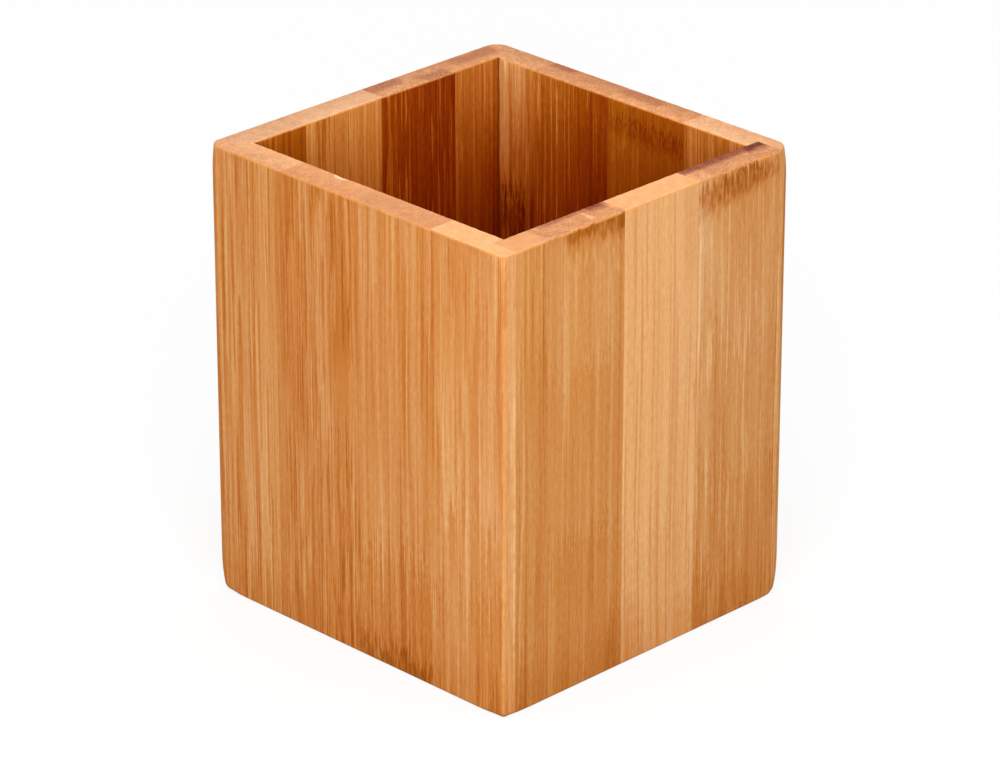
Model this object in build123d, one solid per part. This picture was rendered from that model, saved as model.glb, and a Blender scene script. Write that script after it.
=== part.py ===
"""Square open-topped desk pot of laminated bamboo.

Four wall boards and a base board are each glued up from bamboo strips laid side by side.
The front and back boards are rebated at both ends, and the side boards' square ends sit in
the rebates. The base board slides into a groove that runs round the inside of the walls.
The pot is sanded as a whole after gluing, which rounds its corners and arrises.

Millimetres, +Z up. The origin is the centre of the outline on the resting plane, the front
wall faces -Y and the grain of the walls runs along Z.
"""

import os

from build123d import *

# Outside of the pot
WIDTH = 80.0
DEPTH = 78.0
HEIGHT = 95.0

# Boards: the walls' thickness, and what a corner rebate leaves of a front or back board
WALL_THICKNESS = 6.0
REBATE_LAP = 3.2

# Base board: its thickness, the hollow under it, how far it goes into the walls' groove and
# the room left for it to swell at the bottom of the groove
BASE_THICKNESS = 5.0
BASE_RECESS = 3.0
GROOVE_DEPTH = 2.0
GROOVE_PLAY = 0.15

# Bamboo strips: every board is four wide. Its two inner strips have the planed width, one each
# side of the board's middle glue line, and its two outer strips are trimmed with the board.
STRIP_WIDTH = 20.2

# Place of each board's middle glue line, in X for the front and back and in Y for the rest
FRONT_MIDDLE_LINE = 0.8
BACK_MIDDLE_LINE = -3.1
LEFT_MIDDLE_LINE = 1.1
RIGHT_MIDDLE_LINE = -7.1
BASE_MIDDLE_LINE = -1.2

# Sanded roundings: the upright corners, each as the sanding left it, then the two arrises of the
# rim and the two of the foot
FRONT_LEFT_RADIUS = 1.8
FRONT_RIGHT_RADIUS = 1.0
BACK_LEFT_RADIUS = 2.5
BACK_RIGHT_RADIUS = 2.8
RIM_OUTER_RADIUS = 0.5
RIM_INNER_RADIUS = 0.3
FOOT_OUTER_RADIUS = 0.6
FOOT_INNER_RADIUS = 0.4

# Inside of the pot, between the wall boards
INSIDE_WIDTH = WIDTH - 2 * WALL_THICKNESS
INSIDE_DEPTH = DEPTH - 2 * WALL_THICKNESS

STANDING = (Align.CENTER, Align.CENTER, Align.MIN)


def sanded_shell():
    """The four-sided tube that sanding leaves of the glued-up walls."""
    block = Box(WIDTH, DEPTH, HEIGHT, align=STANDING)
    corners = {
        (-1, -1): FRONT_LEFT_RADIUS,
        (1, -1): FRONT_RIGHT_RADIUS,
        (-1, 1): BACK_LEFT_RADIUS,
        (1, 1): BACK_RIGHT_RADIUS,
    }
    for (side_x, side_y), radius in corners.items():
        foot = (side_x * WIDTH / 2, side_y * DEPTH / 2, 0)
        block = fillet(block.edges().filter_by(Axis.Z).sort_by_distance(foot)[0], radius)
    block = fillet(block.faces().sort_by(Axis.Z)[-1].edges(), RIM_OUTER_RADIUS)
    block = fillet(block.faces().sort_by(Axis.Z)[0].edges(), FOOT_OUTER_RADIUS)
    tube = block - Box(INSIDE_WIDTH, INSIDE_DEPTH, HEIGHT, align=STANDING)
    tube = fillet(tube.faces().sort_by(Axis.Z)[-1].inner_wires()[0].edges(), RIM_INNER_RADIUS)
    return fillet(tube.faces().sort_by(Axis.Z)[0].inner_wires()[0].edges(), FOOT_INNER_RADIUS)


def base_board():
    """The base board, in one piece, with its swelling room all round."""
    reach = 2 * (GROOVE_DEPTH - GROOVE_PLAY)
    board = Box(INSIDE_WIDTH + reach, INSIDE_DEPTH + reach, BASE_THICKNESS, align=STANDING)
    return Pos(Z=BASE_RECESS) * board


def base_groove():
    """The space that the groove takes out of the wall boards, filled in across the middle."""
    reach = 2 * GROOVE_DEPTH
    space = Box(INSIDE_WIDTH + reach, INSIDE_DEPTH + reach, BASE_THICKNESS, align=STANDING)
    return Pos(Z=BASE_RECESS) * space


def rebated_wall(side):
    """A front (side -1) or back (side 1) board, rebated at both ends for the side boards."""
    middle = side * (DEPTH - WALL_THICKNESS) / 2
    board = Pos(Y=middle) * Box(WIDTH, WALL_THICKNESS, HEIGHT, align=STANDING)
    rebate_depth = WALL_THICKNESS - REBATE_LAP
    rebate = Box(WALL_THICKNESS, rebate_depth, HEIGHT, align=STANDING)
    rebate_x = (WIDTH - WALL_THICKNESS) / 2
    rebate_y = side * (DEPTH / 2 - REBATE_LAP - rebate_depth / 2)
    for end in (-1, 1):
        board -= Pos(end * rebate_x, rebate_y) * rebate
    return board


def side_wall(side):
    """A left (side -1) or right (side 1) board, square-ended, that stops at the laps."""
    middle = side * (WIDTH - WALL_THICKNESS) / 2
    length = DEPTH - 2 * REBATE_LAP
    return Pos(X=middle) * Box(WALL_THICKNESS, length, HEIGHT, align=STANDING)


def cut_into_strips(name, board, along, middle_line):
    """Named strips of a board, parted at glue lines that are spaced along X or Y."""
    box = board.bounding_box()
    low, high = (box.min.X, box.max.X) if along == "X" else (box.min.Y, box.max.Y)
    lines = [low, middle_line - STRIP_WIDTH, middle_line, middle_line + STRIP_WIDTH, high]
    strips = {}
    for number, (start, end) in enumerate(zip(lines[:-1], lines[1:]), 1):
        size_x, size_y = (end - start, DEPTH) if along == "X" else (WIDTH, end - start)
        slab = Box(size_x, size_y, HEIGHT, align=STANDING)
        middle = (start + end) / 2
        place = Pos(X=middle) if along == "X" else Pos(Y=middle)
        strips[f"{name}_strip_{number}"] = (board & (place * slab)).solid()
    return strips


shell = sanded_shell()
groove = base_groove()

boards = {
    "front": (rebated_wall(-1) - groove, "X", FRONT_MIDDLE_LINE),
    "back": (rebated_wall(1) - groove, "X", BACK_MIDDLE_LINE),
    "left": (side_wall(-1) - groove, "Y", LEFT_MIDDLE_LINE),
    "right": (side_wall(1) - groove, "Y", RIGHT_MIDDLE_LINE),
}

pieces = cut_into_strips("base", base_board(), "Y", BASE_MIDDLE_LINE)
for wall, (board, along, middle_line) in boards.items():
    for node, strip in cut_into_strips(wall, board, along, middle_line).items():
        pieces[node] = (strip & shell).solid()

os.makedirs("parts", exist_ok=True)
for node, piece in pieces.items():
    piece.label = node
    export_step(piece, f"parts/{node}.step")
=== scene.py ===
import math

import bpy
import numpy as np
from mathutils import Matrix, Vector


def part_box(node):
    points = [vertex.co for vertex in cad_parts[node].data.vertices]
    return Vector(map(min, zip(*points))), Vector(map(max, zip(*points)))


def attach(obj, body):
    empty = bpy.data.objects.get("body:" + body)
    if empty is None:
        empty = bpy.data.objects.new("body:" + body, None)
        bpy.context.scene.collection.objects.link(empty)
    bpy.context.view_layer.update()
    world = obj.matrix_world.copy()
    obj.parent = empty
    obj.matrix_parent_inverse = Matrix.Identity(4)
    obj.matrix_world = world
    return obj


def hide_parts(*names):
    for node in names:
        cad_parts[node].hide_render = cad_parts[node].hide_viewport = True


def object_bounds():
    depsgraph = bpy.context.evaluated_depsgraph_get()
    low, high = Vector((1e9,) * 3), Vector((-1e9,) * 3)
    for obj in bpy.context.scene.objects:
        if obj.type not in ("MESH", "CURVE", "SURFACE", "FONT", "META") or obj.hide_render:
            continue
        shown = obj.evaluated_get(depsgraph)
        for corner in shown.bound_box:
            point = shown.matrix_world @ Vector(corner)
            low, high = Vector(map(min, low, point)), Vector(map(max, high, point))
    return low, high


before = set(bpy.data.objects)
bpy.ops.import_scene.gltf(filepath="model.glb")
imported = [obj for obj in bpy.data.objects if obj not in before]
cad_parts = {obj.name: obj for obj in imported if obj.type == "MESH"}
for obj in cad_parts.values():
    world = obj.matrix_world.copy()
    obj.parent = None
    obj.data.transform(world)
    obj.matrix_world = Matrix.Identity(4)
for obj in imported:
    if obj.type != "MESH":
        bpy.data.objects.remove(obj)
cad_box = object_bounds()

# The four wall boards: four bamboo strips each, edge-glued, with their fibres upright. The front and
# back boards are rebated at both ends over the square ends of the side boards, and all four have a
# groove inside for the base. The glued-up pot was sanded by hand, most at the foot and the rim.
MM = 0.001


def box_mm(node):
    """Lowest and highest corner of a CAD node, in millimetres."""
    low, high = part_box(node)
    return np.array(low) / MM, np.array(high) / MM


# Sizes in millimetres, read from the frame
pot_low, pot_high = (np.array(corner) / MM for corner in cad_box)
board_low, board_high = box_mm("front_strip_2")
side_low, _ = box_mm("right_strip_1")
base_low, base_high = box_mm("base_strip_2")
HEIGHT = pot_high[2]
WALL = board_high[1] - board_low[1]
LAP = side_low[1] - pot_low[1]
SWELLING_ROOM = 0.15
GROOVE = pot_low[0] + WALL - base_low[0] + SWELLING_ROOM
SAME_PLACE = 0.01

BOARDS = {
    # axis along the board, side it faces, corner at its low end, corner at its high end, rebated
    "front": (0, -1, "front_left", "front_right", True),
    "back": (0, 1, "back_left", "back_right", True),
    "left": (1, -1, "front_left", "back_left", False),
    "right": (1, 1, "front_right", "back_right", False),
}

# Radius of each upright corner half-way up, and how much the sanding added at the foot and the rim
CORNER_RADII = {
    "front_left": (1.5, 1.8, 0.85),
    "front_right": (0.8, 0.3, 0.6),
    "back_left": (2.3, 1.0, 0.8),
    "back_right": (2.4, 2.0, 1.25),
}
FOOT_REACH = 10.0
RIM_REACH = 6.0

# Radii of the arrises, and how far from a corner the foot's outer one is rounded more
RIM_OUTER = 0.28
RIM_INNER = 0.20
FOOT_OUTER = 0.5
FOOT_AT_CORNER = 1.1
FOOT_CORNER_REACH = 4.0
FOOT_INNER = 0.35
HIDDEN_ARRIS = 0.02

# Unevenness: share of a size or depth, then the length of its longest wave
RIM_OUTER_UNEVEN, RIM_OUTER_WAVE = 0.15, 9
RIM_INNER_UNEVEN, RIM_INNER_WAVE = 0.3, 7
SANDING_DEPTH, SANDING_WAVE, SANDING_SLANT = 0.02, 60, 0.3
CORNER_GAP_UNEVEN, CORNER_GAP_WAVE = 0.35, 40
SLOW_WAVES, WAVES, WAVE_RATIO = 4, 7, 0.62

# Hairline grooves at the glue lines and the open joint inside the corners: depth, then width
GLUE_GROOVE, GLUE_GROOVE_WIDTH = 0.012, 0.12
CORNER_GAP, CORNER_GAP_WIDTH = 1.2, 0.36

# Steps of the surface: round an arris, up a face, across a face and over a lap
ARRIS_STEPS = 6
UPRIGHT_STEPS = 72
COLUMN_STEP = 0.35
BESIDE_GLUE = np.array([0.0, 0.05, 0.12, 0.25])
LAP_COLUMNS = np.linspace(0, 1, 9)[1:]
LAP_ARC = np.linspace(0, 1, 11)[1:]
LAP_END = np.array([0.25, 0.5, 0.75, 0.93, 0.985, 1.0])

# Rows of points up a face: a quarter turn at the foot, a straight run and a quarter turn at the rim
arris_turn = np.linspace(0, math.pi / 2, ARRIS_STEPS + 1)
resting = np.ones(UPRIGHT_STEPS + ARRIS_STEPS)
climb = np.arange(UPRIGHT_STEPS + 2 * ARRIS_STEPS + 1) - ARRIS_STEPS
ROW_FOOT_RISE = np.concatenate([1 - np.cos(arris_turn), resting])
ROW_FOOT_INSET = np.concatenate([1 - np.sin(arris_turn), 0 * resting])
ROW_UPRIGHT = np.clip(climb / UPRIGHT_STEPS, 0, 1)
ROW_RIM_RISE = np.concatenate([0 * resting, np.sin(arris_turn)])
ROW_RIM_INSET = np.concatenate([0 * resting, 1 - np.cos(arris_turn)])
GROOVE_HEIGHTS = np.array([base_low[2], base_low[2], base_high[2], base_high[2]])
GROOVE_DEPTHS = GROOVE * np.array([0, 1, 1, 0])
GROOVE_ROWS = slice(ARRIS_STEPS + 1, ARRIS_STEPS + 1 + len(GROOVE_HEIGHTS))


def corner_radius(corner, z):
    """Radius of an upright corner: its plain radius, growing with the cube of the way into the
    stretch at the foot and the square of the way into the one at the rim that were sanded more."""
    plain, at_foot, at_rim = CORNER_RADII[corner]
    into_foot = np.clip(1 - z / FOOT_REACH, 0, 1)
    into_rim = np.clip(1 - (HEIGHT - z) / RIM_REACH, 0, 1)
    return plain + at_foot * into_foot**3 + at_rim * into_rim**2


def rounding_inset(radius, distance):
    """How far a rounded corner stands behind a flat face, at a distance from the sharp corner."""
    inside = np.clip(radius - distance, 0, radius)
    return radius - np.sqrt(radius**2 - inside**2)


def bell(places, width):
    """A bump of height 1 at place 0: e to minus the square of the place over the width."""
    return np.exp(-((places / width) ** 2))


def wobble(places, seed, longest, count=WAVES):
    """A smooth random wave between about -1 and 1: a sum of sines, each shorter than the last."""
    random = np.random.default_rng(seed)
    waves = longest * WAVE_RATIO ** np.arange(count)
    phases = random.uniform(0, 2 * math.pi, count)
    return sum(np.sin(2 * math.pi * places / w + p) for w, p in zip(waves, phases)) / math.sqrt(count)


def columns_between(first, last):
    """Places of the columns across a face, closer together beside the glue lines at its edges."""
    close = BESIDE_GLUE[-1]
    count = round((last - first - 2 * close) / COLUMN_STEP)
    middle = np.linspace(first + close, last - close, count + 1)
    return np.concatenate([first + BESIDE_GLUE[:-1], middle, last - BESIDE_GLUE[-2::-1]])


def arris_rows(foot, rim):
    """Height and inset of every row of a face whose arrises are rounded by foot and rim, which
    may change along the face: a quarter turn, a straight run up and another quarter turn."""
    z = np.outer(ROW_FOOT_RISE, foot) + np.outer(ROW_RIM_RISE, rim)
    z += np.outer(ROW_UPRIGHT, HEIGHT - foot - rim)
    return z, np.outer(ROW_FOOT_INSET, foot) + np.outer(ROW_RIM_INSET, rim)


def foot_arris(distance):
    """Radius of the foot's outer arris, which was rounded more at the corners."""
    return FOOT_OUTER + (FOOT_AT_CORNER - FOOT_OUTER) * bell(distance, FOOT_CORNER_REACH)


def lap_ring(corner, from_column, tip, heading):
    """The outside of a rebated end, in rows: on along the outer face to the upright corner, round
    it on an arc, and back along the end of the lap as far as the side board. Ends at the lap's root.
    Returns places along the board, depths behind its outer face and heights."""
    count = len(LAP_COLUMNS) + len(LAP_ARC) + len(LAP_END)
    length = abs(tip - from_column)
    to_corner = np.concatenate([length * (1 - LAP_COLUMNS), 0 * LAP_ARC, LAP * LAP_END])
    z, inset = arris_rows(foot_arris(to_corner), np.full(count, RIM_OUTER))
    face, arc, end = np.split(np.arange(count), np.cumsum([len(LAP_COLUMNS), len(LAP_ARC)]))
    radius = corner_radius(corner, z)
    run = np.zeros_like(z)
    depth = np.zeros_like(z)
    run[:, face] = (length - radius[:, face]) * LAP_COLUMNS
    depth[:, face] = inset[:, face]
    turned_depth = np.minimum(radius, LAP - BESIDE_GLUE[-1])
    turn = -math.pi / 2 + LAP_ARC * (np.arcsin(turned_depth / radius - 1) + math.pi / 2)[:, arc]
    reach = radius[:, arc] - inset[:, arc]
    run[:, arc] = length - radius[:, arc] + reach * np.cos(turn)
    depth[:, arc] = radius[:, arc] + reach * np.sin(turn)
    depth[:, end] = turned_depth[:, end] + (LAP - turned_depth[:, end]) * LAP_END
    run[:, end] = length - inset[:, end] - rounding_inset(radius[:, end], depth[:, end])
    root_z, _ = arris_rows(np.array([HIDDEN_ARRIS]), np.array([HIDDEN_ARRIS]))
    run = np.column_stack([run, np.zeros(len(z))])
    depth = np.column_stack([depth, np.full(len(z), LAP)])
    return from_column + heading * run, depth, np.column_stack([z, root_z])


def strip_surface(name, chips):
    """Points, faces and smooth flags of a wall strip: its plan outline, carried up the height in
    rows. Chips are (place, width, depth) of the dents in the rim's inner arris."""
    along, facing, low_corner, high_corner, rebated = BOARDS[name.split("_")[0]]
    low, high = box_mm(name)
    start, end = low[along], high[along]
    at_low = rebated and math.isclose(start, pot_low[along], abs_tol=SAME_PLACE)
    at_high = rebated and math.isclose(end, pot_high[along], abs_tol=SAME_PLACE)
    columns = columns_between(start + WALL * at_low, end - WALL * at_high)
    from_low, from_high = columns - pot_low[along], pot_high[along] - columns
    glue = GLUE_GROOVE * bell(np.minimum(columns - start, end - columns), GLUE_GROOVE_WIDTH)
    seed = sum(name.encode())

    outer_rim = RIM_OUTER * (1 + RIM_OUTER_UNEVEN * wobble(columns, seed, RIM_OUTER_WAVE))
    outer_z, outer_inset = arris_rows(foot_arris(np.minimum(from_low, from_high)), outer_rim)
    sanding = np.abs(wobble(columns + SANDING_SLANT * outer_z, seed + 1, SANDING_WAVE, SLOW_WAVES))
    outer_depth = outer_inset + glue + SANDING_DEPTH * sanding * (outer_inset == 0)
    if not rebated:
        outer_depth += rounding_inset(corner_radius(low_corner, outer_z), from_low)
        outer_depth += rounding_inset(corner_radius(high_corner, outer_z), from_high)

    inner_rim = RIM_INNER * (1 + RIM_INNER_UNEVEN * wobble(columns, seed + 2, RIM_INNER_WAVE))
    for place, width, bite in chips:
        inner_rim += bite * bell(columns - place, width)
    inner_z, inner_inset = arris_rows(np.full(len(columns), FOOT_INNER), inner_rim)
    inner_z[GROOVE_ROWS] = GROOVE_HEIGHTS[:, None]
    inner_inset[GROOVE_ROWS] = GROOVE_DEPTHS[:, None]
    above = slice(GROOVE_ROWS.stop, ARRIS_STEPS + UPRIGHT_STEPS + 1)
    rise = np.linspace(0, 1, above.stop - above.start + 1)[1:, None]
    inner_z[above] = base_high[2] + (HEIGHT - inner_rim - base_high[2]) * rise
    inner_depth = WALL - inner_inset - glue
    uneven = CORNER_GAP_UNEVEN * wobble(inner_z, seed + 3, CORNER_GAP_WAVE, SLOW_WAVES)
    for open_here, distance in ((at_low, columns - columns[0]), (at_high, columns[-1] - columns)):
        gap = CORNER_GAP * bell(distance, CORNER_GAP_WIDTH * (1 + uneven))
        inner_depth -= open_here * gap * (inner_inset == 0)

    runs = [np.broadcast_to(columns, outer_z.shape)]
    depths, heights = [outer_depth], [outer_z]
    if at_high:
        ring = lap_ring(high_corner, columns[-1], end, 1)
        for whole, piece in zip((runs, depths, heights), ring):
            whole.append(piece)
    runs.append(np.broadcast_to(columns[::-1], inner_z.shape))
    depths.append(inner_depth[:, ::-1])
    heights.append(inner_z[:, ::-1])
    if at_low:
        ring = lap_ring(low_corner, columns[0], start, -1)
        for whole, piece in zip((runs, depths, heights), ring):
            whole.append(piece[:, ::-1])
    run, depth, z = (np.hstack(whole) for whole in (runs, depths, heights))

    points = np.empty((*run.shape, 3))
    points[..., along] = run
    face = pot_high if facing > 0 else pot_low
    points[..., 1 - along] = face[1 - along] - facing * depth
    points[..., 2] = z
    faces, smooth = strip_faces(*run.shape, len(columns), at_low, at_high)
    if (facing > 0) == (along == 0):
        faces = [polygon[::-1] for polygon in faces]
    return points.reshape(-1, 3) * MM, faces, smooth


def strip_faces(rows, ring, columns, at_low, at_high):
    """Faces of a strip's rows of points, and which are shaded smooth: quads between the rows, then
    the foot and the rim as quads from outer to inner arris, with one polygon over each lap."""
    here = np.arange(ring)
    beyond = (here + 1) % ring
    level = np.arange(rows - 1)[:, None] * ring
    sides = np.stack([level + here, level + beyond, level + ring + beyond, level + ring + here], -1)
    lap = len(LAP_COLUMNS) + len(LAP_ARC) + len(LAP_END) + 1
    inner = columns + lap * at_high
    curved = np.ones((rows - 1, ring), bool)
    hidden = [columns - 1] if not at_high else [inner - 2, inner - 1]
    hidden += [ring - 1] if not at_low else [inner + columns - 1, inner + columns]
    curved[:, hidden] = False
    curved[GROOVE_ROWS.start:GROOVE_ROWS.stop - 1, inner:inner + columns - 1] = False
    across = np.arange(columns)
    opposite = inner + columns - 1 - across
    cap = np.stack([across[:-1], across[1:], opposite[1:], opposite[:-1]], -1).tolist()
    if at_high:
        cap[-1].insert(2, inner - 1)
        cap.append(list(range(columns - 1, inner)))
    if at_low:
        cap[0].append(inner + columns)
        cap.append(list(range(inner + columns, ring)) + [0])
    rim = [[corner + (rows - 1) * ring for corner in polygon] for polygon in cap]
    foot = [polygon[::-1] for polygon in cap]
    smooth = np.concatenate([curved.ravel(), np.zeros(2 * len(cap), bool)])
    return sides.reshape(-1, 4).tolist() + rim + foot, smooth


# The finish of the bamboo: sanded and oiled, not varnished. Long fibres run up every strip, with
# dark bundles among pale pith, a feathered brown band where the stem had a joint, and a speckled
# paler end grain on the rim and the foot.
class Socket:
    """An output of a material's node. Arithmetic on it adds Math nodes to the same tree."""

    # A Mix node's sockets for colours
    FACTOR, FROM, TO, MIXED = 0, 6, 7, 2

    def __init__(self, tree, socket=None):
        self.tree = tree
        self.socket = socket

    def node(self, kind, settings=(), inputs=(), output=0):
        """Add a node, set it up, then fill its inputs with numbers or links. Gives one output, or
        all of them where output is None."""
        made = self.tree.nodes.new("ShaderNode" + kind)
        settings = dict(settings)
        for position, colour in settings.pop("stops", {}).items():
            made.color_ramp.elements.new(position).color = colour
        for key, value in settings.items():
            setattr(made, key, value)
        for key, value in dict(inputs).items():
            if isinstance(value, Socket):
                self.tree.links.new(value.socket, made.inputs[key])
            else:
                made.inputs[key].default_value = value
        if output is None:
            return [Socket(self.tree, out) for out in made.outputs]
        return Socket(self.tree, made.outputs[output])

    def math(self, operation, *values):
        """Add a Math node on these values."""
        return self.node("Math", {"operation": operation}, enumerate(values))

    def __add__(self, other):
        return self.math("ADD", self, other)

    def __sub__(self, other):
        return self.math("SUBTRACT", self, other)

    def __rsub__(self, other):
        return self.math("SUBTRACT", other, self)

    def __mul__(self, other):
        return self.math("MULTIPLY", self, other)

    def __abs__(self):
        return self.math("ABSOLUTE", self)

    __radd__ = __add__
    __rmul__ = __mul__

    def step(self, low, high):
        """0 below low, 1 above high, eased in between. Falls instead where low is above high."""
        eased = {"interpolation_type": "SMOOTHSTEP"}
        return self.node("MapRange", eased, {"Value": self, "From Min": low, "From Max": high})

    def within(self, size, fade):
        """1 up to the second share of size, 0 beyond the first, eased in between."""
        return self.step(fade[0] * size, fade[1] * size)

    def into(self, colour, other, blend="MIX"):
        """Blend other over colour by this value."""
        settings = {"data_type": "RGBA", "blend_type": blend}
        inputs = {self.FACTOR: self, self.FROM: colour, self.TO: other}
        return self.node("Mix", settings, inputs, self.MIXED)


# Levels are display values of green. Oiled bamboo gets redder as it gets darker, so one scale of
# colours, each (level, red, blue), serves the faces of every strip. Cut ends have a scale of their
# own, pinker and paler, and on some strips greyer.
FULL = 255
FACE_LEVELS = (
    (30, 110, 0), (62, 147, 1), (88, 165, 10), (104, 183, 37), (120, 199, 54), (140, 210, 78),
    (160, 221, 103), (180, 236, 122),
)
END_LEVELS = (
    (45, 98, 34), (60, 122, 44), (90, 158, 62), (132, 196, 88), (150, 217, 99), (165, 234, 109),
    (181, 244, 126), (196, 252, 140), (226, 255, 190),
)
GREYED_RED, GREYED_BLUE = -0.06, 0.11


def tint(red, green, blue):
    """A linear colour from display values of 0 to 255: a straight line near black, then a power."""
    shown = np.array((red, green, blue)) / FULL
    linear = np.where(shown <= 0.04045, shown / 12.92, ((shown + 0.055) / 1.055) ** 2.4)
    return (*linear.tolist(), 1.0)


def face_scale(hue):
    """Stops of the scale for faces, the red and the blue of its colours multiplied by hue."""
    stops = {}
    for level, red, blue in FACE_LEVELS:
        red, green, blue, _ = tint(red, level, blue)
        stops[level / FULL] = (red * hue[0], green, blue * hue[1], 1.0)
    return stops


def end_scale(greyed):
    """Stops of the scale for cut ends, with less red and more blue the more it is greyed."""
    redness, blueness = 1 + GREYED_RED * greyed, 1 + GREYED_BLUE * greyed
    return {level / FULL: tint(red * redness, level, blue * blueness) for level, red, blue in END_LEVELS}


# A noise is its repeats per millimetre across and along the fibres, its detail and its roughness
WANDER, WANDER_SWING = (0.03, 0.014, 1.0), 2.0
SEED_STEP, SEED_RANGE = 7.31, 97
LINE_GAPS, LINE_ENDS, LINE_WANDER, LINE_FADE = 0.9, 0.06, 0.006, (1.0, 0.3)


class StripGrain:
    """Where a point lies in a strip, in millimetres: across it, behind its outer face and along its
    fibres. Noise on these places is stretched along the fibres and differs from strip to strip."""

    def __init__(self, sheet, name, frame_of):
        point = sheet.node("TexCoord", output="Object")
        point = sheet.node("VectorMath", {"operation": "SCALE"}, {0: point, "Scale": 1 / MM})
        x, y, self.height = sheet.node("SeparateXYZ", inputs={0: point}, output=None)
        self.across, self.depth, self.along, self.edges, self.tips = frame_of(x, y, self.height)
        self.sheet = sheet
        self.seed = sum(name.encode()) * SEED_STEP % SEED_RANGE
        self.line = self.across
        self.line = self.across + self.noise(*WANDER) * WANDER_SWING

    def noise(self, across_rate, along_rate, detail=2.0, roughness=0.5):
        """Noise about zero, with so many repeats per millimetre across and along the fibres."""
        parts = {0: (self.line + self.seed) * across_rate, 1: self.depth * across_rate,
                 2: self.along * along_rate + self.seed}
        vector = self.sheet.node("CombineXYZ", inputs=parts)
        settings = {"Vector": vector, "Scale": 1.0, "Detail": detail, "Roughness": roughness}
        return self.sheet.node("TexNoise", inputs=settings) - 0.5

    def lines(self, rate, length, rarity, width):
        """Thin lines up the fibres, where one noise passes zero, each as long as another lets it be."""
        shown = self.noise(LINE_GAPS * rate, 1 / length, 1.0).step(rarity, rarity + LINE_ENDS)
        return abs(self.noise(rate, LINE_WANDER, 1.0)).within(width, LINE_FADE) * shown

    def nearest(self, ends):
        """Distance to the nearer of two places across the strip."""
        low, high = ends
        return self.across.math("MINIMUM", self.across - low, high - self.across)


# Fibres: each noise with the swing of level that it makes
STRAND, STRAND_SWING = (0.9, 0.012, 1.0), 30
FIBRE, FIBRE_SWING = (3.0, 0.035, 1.0), 36
GRIT, GRIT_SWING = (2.0, 0.5, 1.0), 30
DUST, DUST_SWING = (1.5, 1.3, 1.0), 10
DARK_LINE_RATE, PALE_LINE_RATE = 0.83, 0.71
FLAME, FLAME_FADE = (0.20, 0.011, 1.0), (-0.05, 0.07)
FLAME_BY_STRAND, FLAME_BY_FIBRE = 0.006, 0.005


def fibre_levels(grain, streaks, flames, dark_lines, pale_lines, line_length, line_width):
    """Long strands and short fibres, thin dark and pale lines among them, and pale flames where the
    sander cut through a strand. Lines are (change of level, how rare they are)."""
    strand = grain.noise(*STRAND) * (STRAND_SWING * streaks)
    fibre = grain.noise(*FIBRE) * (FIBRE_SWING * streaks)
    (dark_change, dark_from), (pale_change, pale_from) = dark_lines, pale_lines
    dark = grain.lines(DARK_LINE_RATE, line_length, dark_from, line_width) * dark_change
    pale = grain.lines(PALE_LINE_RATE, line_length, pale_from, line_width) * pale_change
    grit = grain.noise(*GRIT) * GRIT_SWING + grain.noise(*DUST) * DUST_SWING
    flame = grain.noise(*FLAME) + strand * FLAME_BY_STRAND + fibre * FLAME_BY_FIBRE
    flame = flame.step(*FLAME_FADE)
    return strand + fibre - dark + pale + grit + flame * (2 * flames) - flames, fibre


# Joints of the stem: fades are shares of a knot's spread, and of a knot's or stain's length
DASHES, DASHES_SWING, DASHES_SPREAD = (1.5, 0.22), 8, 3.6
FLECKS, FLECKS_FADE, FLECKS_SHARE = (1.1, 0.40), (0.10, -0.04), 0.6
KNOT_WAVE, KNOT_WAVE_SPREAD = (0.2, 0.0), 2
KNOT_CORE, KNOT_FRINGE, KNOT_FRINGE_CHANGE = (1.5, 0.5), (5.0, 1.0), -2.2
KNOT_SPECKS, KNOT_SPECKS_FADE = (1.5, 0.9, 1.0), (0.20, 0.26)
LENGTH_FADE = (0.58, 0.42)


def knot_levels(grain, knots):
    """Where the stem had a joint: a dark patch broken into dashes, with feathered edges and pale
    dashes beyond them. A knot has the place and height of its middle, its width, its tilt, its spread
    up the strip, how fine its dashes are, its change of level, how broken it is and how strong its dark
    specks are. Gives the change of level, where the patches are and where the specks are."""
    change, patch, specks = grain.noise(*DASHES) * DASHES_SWING, 0, 0
    for knot in knots:
        spread, darker = knot["spread"], knot["change"]
        dashes = grain.noise(*(rate * knot["fine"] for rate in DASHES))
        flecks = grain.noise(*(rate * knot["fine"] for rate in FLECKS))
        middle = (grain.across - knot["place"]) * knot["tilt"] + knot["height"]
        feathered = grain.along - middle + dashes * (DASHES_SPREAD * spread)
        away = abs(feathered + grain.noise(*KNOT_WAVE) * (KNOT_WAVE_SPREAD * spread))
        beside = abs(grain.across - knot["place"]).within(knot["width"], LENGTH_FADE)
        core = away.within(spread, KNOT_CORE) * beside
        fringe = away.within(spread, KNOT_FRINGE) * beside
        broken = flecks.step(*FLECKS_FADE) * knot["broken"] + (1 - FLECKS_SHARE * knot["broken"])
        change = change + core * broken * darker + fringe * dashes * (KNOT_FRINGE_CHANGE * darker)
        patch = core + patch
        specks = core * grain.noise(*KNOT_SPECKS).step(*KNOT_SPECKS_FADE) * knot["specks"] + specks
    return change, patch, specks


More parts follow.
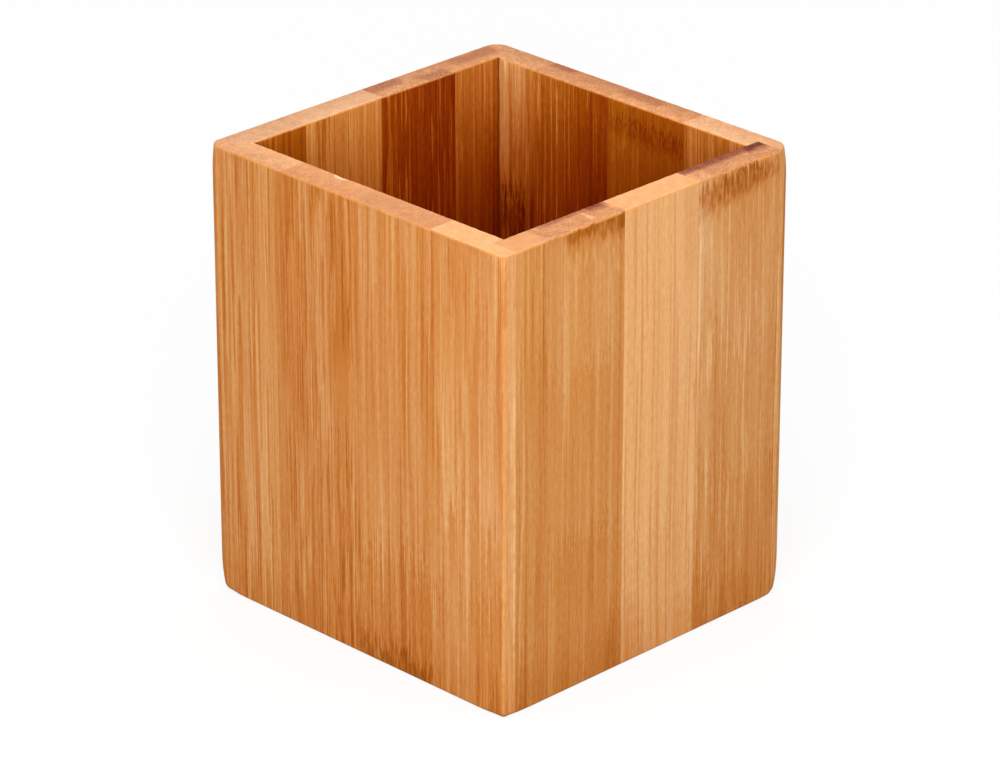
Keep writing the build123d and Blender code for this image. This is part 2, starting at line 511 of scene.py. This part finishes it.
# End grain: the swing of level that each noise makes on a plain strip, and what full dots add
BUNDLES_PER_MM, BUNDLES_FADE, BUNDLES_DROP, BUNDLES_PATCHY = 1.9, (0.50, 0.12), 26, 90
MOTTLE, MOTTLE_SWING, MOTTLE_DOTTED = (0.5, 0.0, 3.0, 0.6), 24, 44
PORES, PORES_SWING, PORES_DOTTED = (2.6, 0.0, 1.0), 16, 18
DOTTED_LIFT = 6
STAIN_EDGE, STAIN_EDGE_MOST, STAIN_EDGE_SHARE, STAIN_EDGE_BEHIND = (0.45, 0.0, 3.0, 0.6), 3.0, 0.5, 0.6
STAIN_FADE, STAIN_STRENGTH, STAIN_PATCHY = (0.68, 0.26), 0.9, 1.6


def end_levels(grain, rim, rim_slope, dots, stains):
    """End grain on the rim and the foot: cut bundles are dots, crowded towards the old skin, and the
    sander left purple-brown stains."""
    parts = {0: grain.across + grain.seed, 1: grain.depth, 2: grain.seed}
    spots = grain.sheet.node("CombineXYZ", inputs=parts)
    bundles = grain.sheet.node("TexVoronoi", inputs={"Vector": spots, "Scale": BUNDLES_PER_MM})
    mottle, pores = grain.noise(*MOTTLE), grain.noise(*PORES)
    dotted = bundles.step(*BUNDLES_FADE) * (mottle * BUNDLES_PATCHY + BUNDLES_DROP)
    level = (rim + DOTTED_LIFT * dots) - dotted * dots
    level = level + mottle * (MOTTLE_SWING + MOTTLE_DOTTED * dots)
    level = level + pores * (PORES_SWING + PORES_DOTTED * dots)
    level = level + (grain.depth - 0.5 * WALL) * (rim_slope / WALL)
    for place, length, depth, width, change in stains:
        ragged = grain.noise(*STAIN_EDGE) * min(STAIN_EDGE_MOST, STAIN_EDGE_SHARE * length)
        beside = (abs(grain.across - place) + ragged).within(length, LENGTH_FADE)
        behind = (abs(grain.depth - depth) + ragged * STAIN_EDGE_BEHIND).within(width, STAIN_FADE)
        level = level + behind * beside * (mottle * STAIN_PATCHY + STAIN_STRENGTH) * change
    return level


# Edges: the distances in millimetres between which each fades in
LAP_FADE, LAP_FLAT, LAP_BY_DEPTH = (0.55, 0.15), 0.6, 0.25
# Where the pale corner of a lap fades in: wear with a painted highlight
WEAR_AND_HIGHLIGHT_FADE = (0.9, 0.35)
GLUE_FADE, GLUE_RUN, GLUE_RUN_FADE, GLUE_DROP = (0.24, 0.05), (0.02, 0.06, 1.0), (0.0, 0.15), 13
LIP_FADE, LIP_DEPTH_FADE = (0.9, 0.5), (0.45, 0.15)
LIP_FLECKS, LIP_FLECKS_FADE = (0.3, 0.35, 1.0), (-0.20, 0.05)
SEAM_FADE = (0.40, 0.10)


def edge_levels(grain, between, lap, worn, lips, seams):
    """The end of a lap is another face of the strip, corners are pale with wear and a painted highlight,
    and glue lines are dark.
    Lips, (depth, from height, to height, change), are flecked lines on the end of a lap. Seams, (from
    height, to height, change), are stretches where the glue lines at both edges show more."""
    depth, to_tip, to_glue = grain.depth, grain.nearest(grain.tips), grain.nearest(grain.edges)
    level = to_tip.step(*LAP_FADE) * (depth * LAP_BY_DEPTH + LAP_FLAT) * lap
    # Pale corner of a lap: wear with a painted highlight
    level = level + (to_tip + depth).step(*WEAR_AND_HIGHLIGHT_FADE) * worn
    level = level - to_glue.step(*GLUE_FADE) * grain.noise(*GLUE_RUN).step(*GLUE_RUN_FADE) * GLUE_DROP
    for spot, low, high, change in lips:
        lip = to_tip.step(*LIP_FADE) * abs(depth - spot).step(*LIP_DEPTH_FADE) * between(low, high)
        level = level + lip * grain.noise(*LIP_FLECKS).step(*LIP_FLECKS_FADE) * change
    for low, high, change in seams:
        level = level + to_glue.step(*SEAM_FADE) * between(low, high) * change
    return level


# Faces: painted shade that darkens the inner faces deep down and the outer faces towards the foot, in
# millimetres of depth or height, and streaks
INNER_FADE = (0.5 * WALL, 0.8 * WALL)
INSIDE_SHADE_FADE = (56.0, 94.0)
DEEP_SHADE_FADE = (HEIGHT + 5, 50.0)
# Painted shade at the foot: how many levels darker, and the heights over which it comes in
FOOT_SHADE, FOOT_SHADE_FADE = 13, (14.0, 0.0)
BAND_FADE, BAND_ENDS, BAND_RAGGED = (0.62, 0.30), 4, 0.4
THREADS = (1.1, 18.0, 0.0, 0.07)

# Colours that multiply a face's own, the inside one being painted shade, and colours in which its flaws
# and arrises show, the pale arris line being wear with a painted highlight
CAST_PATCHES, CAST_FADE = (0.15, 0.012, 1.0), (-0.08, 0.10)
ORANGE_CAST = (1.0, 0.985, 0.90, 1.0)
INSIDE_SHADE_CAST = (1.02, 0.58, 0.13, 1.0)
KNOT_CAST = (0.97, 1.0, 1.18, 1.0)
SPECK_BROWN = tint(74, 34, 14)
ARRIS_WEAR_AND_HIGHLIGHT = tint(244, 166, 88)
FRESH_WOOD = tint(255, 222, 186)

# Rim: where the pale arris lines (wear with a painted highlight) and the end grain fade in, and how far a
# chip reaches
OUTER_ARRIS_FADE, INNER_ARRIS_FADE, ARRIS_STRENGTH = (0.80, 0.30), (0.60, 0.20), 0.75
NICKS, NICKS_FADE = (0.9, 0.0), (0.02, 0.12)
END_FROM, END_WHOLE = 0.30, 0.08
CHIP_REACH, CHIP_EDGE, CHIP_EDGE_SWING = 0.25, (0.8, 0.0), 0.8
CHIP_FADE, CHIP_STRENGTH = (1.1, 0.8), 0.6

# Sheen of oiled bamboo, and how far the fibres stand out
SPECULAR = 0.08
ROUGHNESS, ROUGHNESS_BY_FIBRE, ROUGHNESS_OF_ENDS = 0.55, 0.005, 0.12
BUMP_STRENGTH, BUMP_DISTANCE, BUMP_BY_FIBRE = 0.1, 0.0001, 0.015


def bamboo(name, frame_of, outer, inside, rim, drift=(0, 0), streaks=1.0, flames=6, dark_lines=(22, -0.02),
           pale_lines=(16, 0.0), line_length=60, line_width=0.10, threads=0, bands=(), knots=(),
           stains=(), chips=(), lap=0, worn=0, lips=(), seams=(), rim_slope=0, dots=1.0, greyed=0,
           nicks=0.3, hue=(1.0, 1.0)):
    """Material of one strip. Its outer face, its inner face near the rim and deep down, and its rim have
    those levels, and the rest are changes of level or strengths; the inner face's fall to its deep-down
    level is painted shade. Drift is (place, change per millimetre) across the inner face, and threads are
    pale lines on it. Bands are (place, width, from height, to height, change), the dark ones that start
    below the foot being painted shade there, knots as in knot_levels, and stains on the rim (place,
    length, depth, width, change). Lap is the change on the end of a lap, and the argument after it the
    change on its corner, which is wear with a painted highlight; lips and seams are as in edge_levels.
    On the rim, the level rises by rim_slope from outer to inner arris, dots is how much the cut bundles
    show, greyed how grey it is, nicks how broken its outer arris is, and chips as in strip_surface. Hue
    multiplies the red and the blue of the faces."""
    material = bpy.data.materials.new(name)
    material.use_nodes = True
    material.node_tree.nodes.clear()
    sheet = Socket(material.node_tree)
    grain = StripGrain(sheet, name, frame_of)
    depth, along, top = grain.depth, grain.along, HEIGHT - grain.along

    fibres, fibre = fibre_levels(grain, streaks, flames, dark_lines, pale_lines, line_length, line_width)
    knotted, patch, specks = knot_levels(grain, knots)
    inner = depth.step(*INNER_FADE)
    near_rim, deep_down = inside
    # Painted shade inside: inner faces fall from their near-rim level to their deep-down level lower in
    # the pot
    inside_level = grain.height.step(*INSIDE_SHADE_FADE) * (near_rim - deep_down) + deep_down
    inside_level = (grain.across - drift[0]) * drift[1] + inside_level
    level = fibres + knotted + inner * (inside_level - outer) + outer
    # Painted shade at the foot: the outer faces, and the base board's underside, darken over the lowest 14
    # mm
    level = level - (1 - inner) * grain.height.step(*FOOT_SHADE_FADE) * FOOT_SHADE
    ragged = along + fibres * BAND_RAGGED

    def between(low, high):
        """1 between two heights, with ragged ends that follow the fibres."""
        from_low = ragged.step(low - BAND_ENDS, low + BAND_ENDS)
        return from_low * ragged.step(high + BAND_ENDS, high - BAND_ENDS)

    for spot, width, low, high, change in bands:
        beside = abs(grain.line - spot).within(width, BAND_FADE)
        level = level + beside * between(low, high) * change
    if threads:
        level = level + grain.lines(*THREADS) * inner * threads
    level = level + edge_levels(grain, between, lap, worn, lips, seams)

    face_colour = sheet.node("ValToRGB", {"stops": face_scale(hue)}, {0: level * (1 / FULL)})
    cast = grain.noise(*CAST_PATCHES).step(*CAST_FADE)
    face_colour = cast.into(face_colour, ORANGE_CAST, "MULTIPLY")
    # Painted shade inside: deeper down, the inner faces also turn redder
    deep_shade = inner * grain.height.step(*DEEP_SHADE_FADE)
    face_colour = deep_shade.into(face_colour, INSIDE_SHADE_CAST, "MULTIPLY")
    if knots:
        face_colour = patch.into(face_colour, KNOT_CAST, "MULTIPLY")
        face_colour = specks.into(face_colour, SPECK_BROWN)
    # Pale orange lines along the rim's outer and inner arrises: wear with a painted highlight
    arris = (top + depth).step(*OUTER_ARRIS_FADE) + (top + WALL - depth).step(*INNER_ARRIS_FADE)
    unbroken = ARRIS_STRENGTH - grain.noise(*NICKS).step(*NICKS_FADE) * nicks
    face_colour = (arris * unbroken).into(face_colour, ARRIS_WEAR_AND_HIGHLIGHT)

    end_level = end_levels(grain, rim, rim_slope, dots, stains)
    end_colour = sheet.node("ValToRGB", {"stops": end_scale(greyed)}, {0: end_level * (1 / FULL)})
    end_grain = along.step(HEIGHT - END_FROM, HEIGHT - END_WHOLE) + along.step(END_FROM, END_WHOLE)
    colour = end_grain.into(face_colour, end_colour)
    for place, width, size in chips:
        beside = (grain.across - place) * (1 / width)
        behind = (top + WALL - depth) * (CHIP_REACH / size)
        chipped = beside * beside + behind * behind + grain.noise(*CHIP_EDGE) * CHIP_EDGE_SWING
        colour = (chipped.step(*CHIP_FADE) * CHIP_STRENGTH).into(colour, FRESH_WOOD)

    bump = sheet.node("Bump", inputs={
        "Strength": BUMP_STRENGTH, "Distance": BUMP_DISTANCE, "Height": fibres * BUMP_BY_FIBRE,
    })
    rough = ROUGHNESS + fibre * ROUGHNESS_BY_FIBRE + end_grain * ROUGHNESS_OF_ENDS
    surface = sheet.node("BsdfPrincipled", inputs={
        "Base Color": colour, "Roughness": rough, "Normal": bump, "Specular IOR Level": SPECULAR,
    })
    sheet.node("OutputMaterial", inputs={"Surface": surface}, output=None)
    return material


# Millimetres to the edges and tips that a strip lacks
FAR_OFF = 50.0


def wall_strip(name, chips=(), **look):
    """Make a wall strip's surface and finish, in the place of its CAD node."""
    points, faces, smooth = strip_surface(name, chips)
    mesh = bpy.data.meshes.new(name + "_sanded")
    mesh.from_pydata(points, [], faces)
    mesh.polygons.foreach_set("use_smooth", smooth)
    piece = bpy.data.objects.new(name + "_sanded", mesh)
    bpy.context.scene.collection.objects.link(piece)
    along, facing = BOARDS[name.split("_")[0]][:2]
    outer_face = (pot_high if facing > 0 else pot_low)[1 - along]
    low, high = (corner[along] for corner in box_mm(name))
    at_low = low < pot_low[along] + LAP / 2
    at_high = high > pot_high[along] - LAP / 2

    def frame_of(x, y, z):
        """Places in the strip, its glued edges and its lapped tips, those that it lacks far off."""
        run, off = (x, y) if along == 0 else (y, x)
        depth = outer_face - off if facing > 0 else off - outer_face
        edges = float(low - FAR_OFF * at_low), float(high + FAR_OFF * at_high)
        tips = float(low - FAR_OFF * (not at_low)), float(high + FAR_OFF * (not at_high))
        return run, depth, z, edges, tips

    mesh.materials.append(bamboo(name + "_bamboo", frame_of, chips=chips, **look))
    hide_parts(name)
    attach(piece, "root")


# Front wall: four streaky honey-coloured strips of oiled bamboo, edge-glued, the outer two lapped over
# the ends of the side walls. The third was cut just above a joint of the stem.
# The darker bands that start 10 or 20 mm below the foot and end 10 to 34 mm up are painted shade at the
# foot; the other bands follow the grain.
wall_strip(
    "front_strip_1", outer=141, inside=(130, 118), rim=156, rim_slope=18, greyed=0.45, dots=0.8,
    line_length=36,
    bands=[(-37.2, 1.2, 20, 100, 12), (-35.0, 1.6, 76, 100, 8), (-32.2, 1.3, 28, 60, -12),
           (-32.0, 1.4, 74, 100, -12), (-28.6, 1.8, 34, 52, -12), (-26.0, 4.0, 8, 70, 6),
           (-19.8, 1.4, 48, 100, -14), (-30, 30, -20, 24, -4), (-22.0, 4.0, 64, 100, -8),
           (-28.5, 8.0, 12, 46, 7)],
)
wall_strip(
    "front_strip_2", outer=132, inside=(122, 110), rim=145, rim_slope=12, dots=0.6, flames=4,
    line_length=20,
    chips=[(-8.9, 2.0, 0.32)],
    bands=[(-18.6, 1.8, 52, 100, -12), (-13.2, 2.4, 70, 100, 8), (-9.6, 2.2, 44, 100, 8),
           (-4.6, 7.0, 58, 100, -10), (-13.0, 8.0, 2, 34, -4), (-14.0, 4.5, 14, 38, 11),
           (-2.0, 4.0, -10, 32, -7)],
)
wall_strip(
    "front_strip_3", outer=140, inside=(126, 114), rim=140, rim_slope=6, dots=0.45, streaks=0.8, flames=4,
    dark_lines=(17, 0.0), pale_lines=(11, 0.0), line_width=0.09,
    bands=[(0.9, 0.9, 58, 100, -14), (9.9, 0.9, 68, 100, -12), (5.0, 6.0, 18, 42, 4),
           (19.6, 2.6, 28, 72, -10), (14.0, 0.6, 29, 31, -40), (11.0, 24.0, -20, 24, -14),
           (18.6, 5.0, -20, 27, -11)],
    knots=[dict(place=11.0, width=24, height=-1, tilt=0.0, spread=5, fine=1.2, change=-22, broken=0.3,
                specks=0)],
)
wall_strip(
    "front_strip_4", outer=147, inside=(134, 122), rim=169, dots=0.3, streaks=0.8, lap=15, worn=2,
    dark_lines=(15, 0.0), pale_lines=(11, 0.0), line_length=28, line_width=0.09,
    lips=[(2.85, 7, 66, 20)],
    bands=[(21.2, 1.0, 48, 100, -18), (23.2, 1.8, 28, 100, 8), (27.0, 6.0, 40, 66, 8),
           (26.6, 2.6, 24, 40, -12), (33.4, 4.6, 8, 34, -4), (39.1, 0.7, 45, 100, -14),
           (30, 22, 72, 110, -4), (30, 22, -10, 22, -10), (22.4, 3.6, -10, 52, -11),
           (36.5, 5.0, 34, 48, 13), (34.0, 4.0, 62, 82, -9)],
)

# Right wall: four calmer and paler strips of oiled bamboo, square-ended and glued in behind the laps of
# the front and back walls. A clean light strip stands between two that end in a joint of the stem.
# The darker bands that start 10 or 20 mm below the foot and end 10 to 34 mm up are painted shade at the
# foot; the other bands follow the grain.
wall_strip(
    "right_strip_1", outer=136, hue=(0.94, 1.0), inside=(130, 118), rim=152, dots=0.2, streaks=0.7,
    flames=3, dark_lines=(14, 0.0), pale_lines=(10, 0.0),
    seams=[(-5, 32, -14)],
    bands=[(-28.3, 0.9, 66, 100, -14), (-34.2, 1.2, 40, 100, 6), (-28.8, 2.4, -5, 72, -7),
           (-33.4, 1.4, -5, 62, 5), (-31.3, 1.0, 10, 60, 5), (-35.1, 0.9, -5, 80, 8),
           (-31, 22, -20, 26, -4), (-34.2, 4.5, -20, 13, -12)],
)
wall_strip(
    "right_strip_2", outer=137, hue=(0.95, 1.0), inside=(124, 112), rim=136, dots=0.9, nicks=0.6,
    streaks=0.4, flames=1, dark_lines=(8, 0.02), pale_lines=(12, 0.03), line_length=90, line_width=0.08,
    bands=[(-18.0, 24.0, 66, 90, 7), (-8.8, 2.8, 36, 88, -5), (-17, 24, -20, 32, -9),
           (-14.2, 0.8, 16, 72, 11), (-15.4, 1.2, 16, 66, -6), (-10.4, 0.7, 10, 80, 10),
           (-12.8, 0.8, 30, 70, -6), (-8.6, 5.0, -20, 15, -9)],
    knots=[dict(place=-13.6, width=18, height=95.2, tilt=-0.05, spread=3.6, fine=0.8, change=-42,
                broken=0.5, specks=0.5)],
    stains=[(-16, 17, 6.0, 2.6, -40), (-9.5, 5, 5.0, 3.0, -36), (-7.6, 0.9, 3.6, 4.4, 30),
            (-14.2, 0.8, 3.4, 5, 24)],
)
wall_strip(
    "right_strip_3", outer=168, hue=(1.0, 1.02), inside=(140, 128), rim=167, dots=0.4, streaks=0.35,
    flames=1, dark_lines=(17, 0.0), pale_lines=(3, 0.0), line_length=80, line_width=0.07,
    bands=[(-6.6, 0.7, 32, 80, 8), (-2.2, 0.6, -5, 70, -10), (2.2, 0.5, 10, 100, -8),
           (7.8, 0.6, -5, 60, -10), (12.2, 1.0, 58, 95, 3), (3, 26, -20, 24, -6),
           (10.5, 7, -20, 10, -6), (11.0, 4.0, 76, 100, -8), (-4.6, 5.0, -20, 14, -10),
           (12.6, 0.5, 49.5, 51.5, -45)],
)
wall_strip(
    "right_strip_4", outer=140, hue=(0.955, 1.07), inside=(124, 112), rim=133, dots=1.2, nicks=0.9,
    streaks=0.5, flames=3, dark_lines=(12, 0.0), pale_lines=(18, 0.0), line_length=26, line_width=0.08,
    bands=[(13.8, 1.2, 40, 92, 10), (14.4, 6.0, 14, 110, 15), (26, 30, 60, 85, 5),
           (26, 32, -20, 32, -8), (18, 13, -20, 10, -5), (19.0, 4.0, 64, 84, 9)],
    knots=[dict(place=20.8, width=19.5, height=91.0, tilt=0.12, spread=2.7, fine=0.8, change=-33,
                broken=0.6, specks=1),
           dict(place=32.6, width=9, height=92.0, tilt=0.0, spread=1.6, fine=1.2, change=-22,
                broken=0.8, specks=0.3)],
    stains=[(25, 25, 6.0, 4.2, -66), (33.5, 6, 4.8, 4.5, -24), (14.0, 6, 2.0, 5.0, 20)],
)

# Back wall: four strips of oiled bamboo, edge-glued and lapped over the side walls like the front. It is
# seen from inside, where it turns darker and redder deeper down: painted shade.
wall_strip(
    "back_strip_1", outer=146, inside=(142, 80), hue=(0.96, 0.92), drift=(-28.6, -4.4), rim=140,
    rim_slope=20, greyed=0.3, streaks=0.7, flames=2, dark_lines=(18, 0.0), pale_lines=(18, 0.0),
    line_length=24, threads=26,
    knots=[dict(place=-31.0, width=11, height=61.8, tilt=-0.6, spread=5, fine=1.4, change=-29,
                broken=0.7, specks=0.4)],
    bands=[(-25.6, 3.6, 67, 74, 9), (-28.6, 3.0, 72, 79, -11)],
)
wall_strip(
    "back_strip_2", outer=134, inside=(72, 54), drift=(-13.2, -2.4), rim=130, rim_slope=24, streaks=0.6,
    flames=2, dark_lines=(12, 0.0), pale_lines=(18, 0.0), threads=34,
    bands=[(-14, 20, 89, 110, 10)],
    stains=[(-20, 6, 1.0, 2.5, -24)],
)
wall_strip(
    "back_strip_3", outer=130, inside=(79, 67), hue=(0.97, 0.7), drift=(7.0, -0.8), rim=137, rim_slope=26,
    dots=1.1, streaks=0.5, flames=2, dark_lines=(10, 0.02), pale_lines=(8, 0.02), threads=12,
    knots=[dict(place=9.0, width=24, height=89.4, tilt=-0.03, spread=2.0, fine=1.9, change=-17,
                broken=1.0, specks=0.2)],
    stains=[(2, 12, 2.0, 3.0, -24)],
)
wall_strip(
    "back_strip_4", outer=156, inside=(111, 98), hue=(0.95, 1.0), rim=163, rim_slope=18, dots=0.7,
    greyed=0.7, streaks=0.6, lap=-10,
    lips=[(3.0, 20, 92, 15)],
)

# Left wall: four strips of oiled bamboo, square-ended and glued in behind the laps like the right wall.
# It is also seen from inside, with one strip much darker than its neighbours.
wall_strip(
    "left_strip_1", outer=134, inside=(84, 78), hue=(0.98, 0.7), rim=155, rim_slope=16, dots=0.6,
    greyed=1.0, streaks=0.6, flames=3,
)
wall_strip(
    "left_strip_2", outer=154, inside=(122, 108), hue=(0.95, 0.86), rim=161, rim_slope=20, dots=0.5,
    greyed=1.0, streaks=0.6, flames=2, dark_lines=(28, 0.0), pale_lines=(16, 0.0), line_width=0.08,
    threads=16,
)
wall_strip(
    "left_strip_3", outer=112, inside=(53, 52), hue=(1.03, 1.0), drift=(11.0, -0.6), rim=136, rim_slope=10,
    dots=1.2, greyed=0.3, streaks=0.6, flames=2, dark_lines=(10, 0.0), pale_lines=(12, 0.0),
    line_length=24, threads=46,
    stains=[(3, 14, 1.5, 3.5, -30), (17, 7, 5.0, 4.0, -30)],
)
# The band on the fourth strip darkens its inside towards the back corner: painted shade.
wall_strip(
    "left_strip_4", outer=130, inside=(102, 71), hue=(0.98, 1.0), drift=(28.0, 0.4), rim=135, rim_slope=16,
    dots=0.8, streaks=0.6, flames=2, dark_lines=(14, 0.02), pale_lines=(10, 0.02), threads=20,
    bands=[(33, 10, -10, 76, -12)],
    stains=[(30, 12, 2.5, 3.5, -24)],
)

# Base board: four more strips of oiled bamboo with their fibres along X, edge-glued and let into the
# walls' groove all round. Its CAD solids have the right shape and keep it.
BASE_LEVELS = (132, 145, 124, 138)
# Levels taken off the base's top, which lies deep in the pot: painted shade
BASE_DEEP_SHADE = 30


def base_frame(name):
    """How a point lies in a base strip: across it along Y, with its top as the inner face."""
    low, high = box_mm(name)

    def frame_of(x, y, z):
        """Places in the strip and its glued edges, with its tips far off."""
        below = base_high[2] - z
        return y, WALL - below, x + 0.5 * HEIGHT, (float(low[1]), float(high[1])), (-FAR_OFF, FAR_OFF)

    return frame_of


for number, shade in enumerate(BASE_LEVELS, 1):
    name = f"base_strip_{number}"
    deep_shade = (shade - BASE_DEEP_SHADE, shade - BASE_DEEP_SHADE)
    finish = bamboo(name + "_bamboo", base_frame(name), outer=shade, inside=deep_shade, rim=shade)
    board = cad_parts[name]
    board.data.materials.clear()
    board.data.materials.append(finish)

# Floor and light: a sheet of white paper under an even white sky, with a soft lamp close to the front
# corner. The paper shows as bright to the camera and in reflections, but throws little light back up.
FLOOR_HALF = 3.0
FLOOR_GAP = 0.00002
WHITE = (1.0, 1.0, 1.0, 1.0)
PAPER_WHITE, PAPER_DIM = (0.9, 0.9, 0.9, 1.0), (0.12, 0.12, 0.12, 1.0)
PAPER_GLOW, GLOW_STRENGTH, SKY_STRENGTH = 0.8, 1.0, 1.0
floor_mesh = bpy.data.meshes.new("floor")
floor_mesh.from_pydata(
    [(x * FLOOR_HALF, y * FLOOR_HALF, -FLOOR_GAP) for x, y in ((-1, -1), (1, -1), (1, 1), (-1, 1))],
    [], [(0, 1, 2, 3)],
)
floor = bpy.data.objects.new("floor", floor_mesh)
bpy.context.scene.collection.objects.link(floor)
paper = bpy.data.materials.new("white_paper")
paper.use_nodes = True
paper.node_tree.nodes.clear()
paper_sheet = Socket(paper.node_tree)
camera_ray, glossy_ray, transmission_ray = (
    paper_sheet.node("LightPath", output=f"Is {kind} Ray") for kind in ("Camera", "Glossy", "Transmission")
)
seen = camera_ray + glossy_ray + transmission_ray
white = paper_sheet.node("BsdfDiffuse", inputs={"Color": PAPER_WHITE})
glow = paper_sheet.node("Emission", inputs={"Color": WHITE, "Strength": GLOW_STRENGTH})
bright = paper_sheet.node("MixShader", inputs={0: PAPER_GLOW, 1: white, 2: glow})
dim = paper_sheet.node("BsdfDiffuse", inputs={"Color": PAPER_DIM})
shown = paper_sheet.node("MixShader", inputs={0: seen, 1: dim, 2: bright})
paper_sheet.node("OutputMaterial", inputs={"Surface": shown}, output=None)
floor_mesh.materials.append(paper)

world = bpy.data.worlds.new("white_sky")
bpy.context.scene.world = world
world.use_nodes = True
world.node_tree.nodes.clear()
sky = Socket(world.node_tree)
even = sky.node("Background", inputs={"Color": WHITE, "Strength": SKY_STRENGTH})
sky.node("OutputWorld", inputs={"Surface": even}, output=None)

LAMP_SIZE, LAMP_POWER = 0.3, 1.6
LAMP_PLACE, LAMP_AIM = Vector((0.30, -0.30, 0.26)), Vector((0, 0, 0.09))
lamp = bpy.data.lights.new("softbox", "AREA")
lamp.shape = "SQUARE"
lamp.size = LAMP_SIZE
lamp.energy = LAMP_POWER
softbox = bpy.data.objects.new("softbox", lamp)
bpy.context.scene.collection.objects.link(softbox)
softbox.location = LAMP_PLACE
softbox.rotation_euler = (LAMP_AIM - LAMP_PLACE).to_track_quat("-Z", "Y").to_euler()

# Camera: a long lens a metre away, level, looking down on the corner between the front and right walls.
# Its place and its lens were fitted to the pot's edges as photographed.
AIM = Vector((-0.00004, 0.0, 0.04516))
AZIMUTH, ELEVATION = math.radians(45.067), math.radians(24.239)
DISTANCE = 1.0063
SENSOR_WIDTH, FOCAL_LENGTH = 36.0, 185.3
lens = bpy.data.cameras.new("camera")
lens.sensor_width = SENSOR_WIDTH
lens.lens = FOCAL_LENGTH
camera = bpy.data.objects.new("camera", lens)
bpy.context.scene.collection.objects.link(camera)
outward = math.cos(ELEVATION)
back = Vector((math.sin(AZIMUTH) * outward, -math.cos(AZIMUTH) * outward, math.sin(ELEVATION)))
camera.location = AIM + DISTANCE * back
camera.rotation_euler = back.to_track_quat("Z", "Y").to_euler()
bpy.context.scene.camera = camera
bpy.context.scene.view_settings.view_transform = "Standard"
